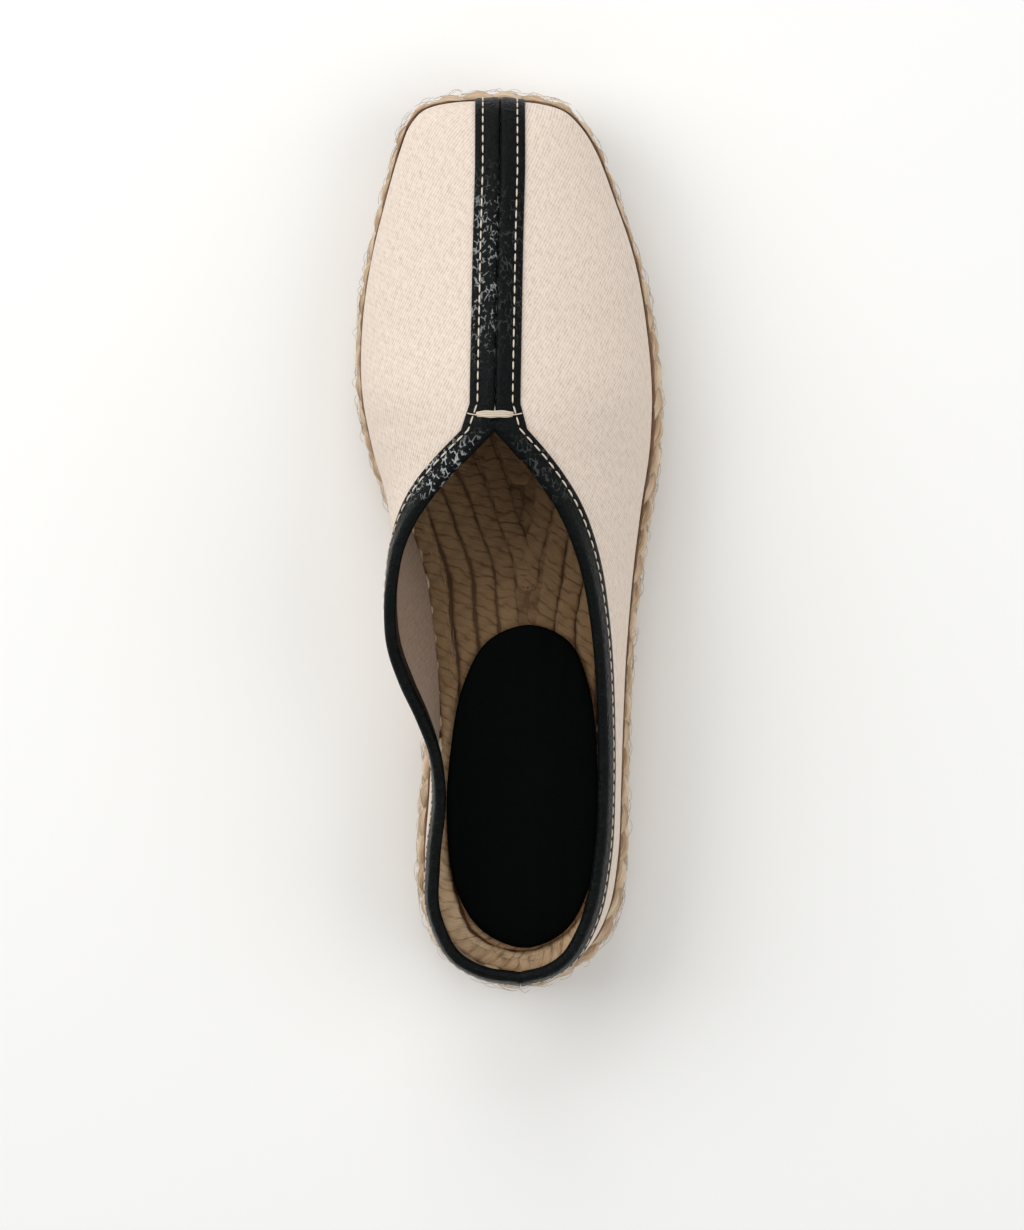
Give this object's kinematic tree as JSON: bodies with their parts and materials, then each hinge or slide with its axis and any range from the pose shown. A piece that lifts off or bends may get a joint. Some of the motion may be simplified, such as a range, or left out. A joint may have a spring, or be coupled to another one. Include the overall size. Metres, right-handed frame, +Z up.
{
  "type": "espadrille mule",
  "caption": "Low-backed espadrille mule for a right foot: canvas upper with leather-bound edges on a braided jute sole.",
  "frame": {"origin": "on the floor, midway along the sole's length and across its ball", "axes": "+Z up, +Y towards the toe, +X towards the lateral (outer) side of a right foot"},
  "size_m": [0.0887, 0.2575, 0.0668],
  "materials": {
    "outsole": "matt gum rubber, fine ribs",
    "jute": "natural jute braid, wound and stitched",
    "canvas": "pale twill canvas with a canvas lining",
    "binding": "black grained leather, slightly glossy, edge stitched",
    "thread": "pale waxed thread",
    "sock": "black fine-grained leather, matt"
  },
  "bodies": {
    "root": {"outsole": "outsole", "jute_midsole": "jute", "upper": "canvas", "vamp_binding_medial": "binding", "vamp_binding_lateral": "binding", "collar_binding": "binding", "throat_tack": "thread", "heel_sock": "sock"}
  },
  "joints": []
}
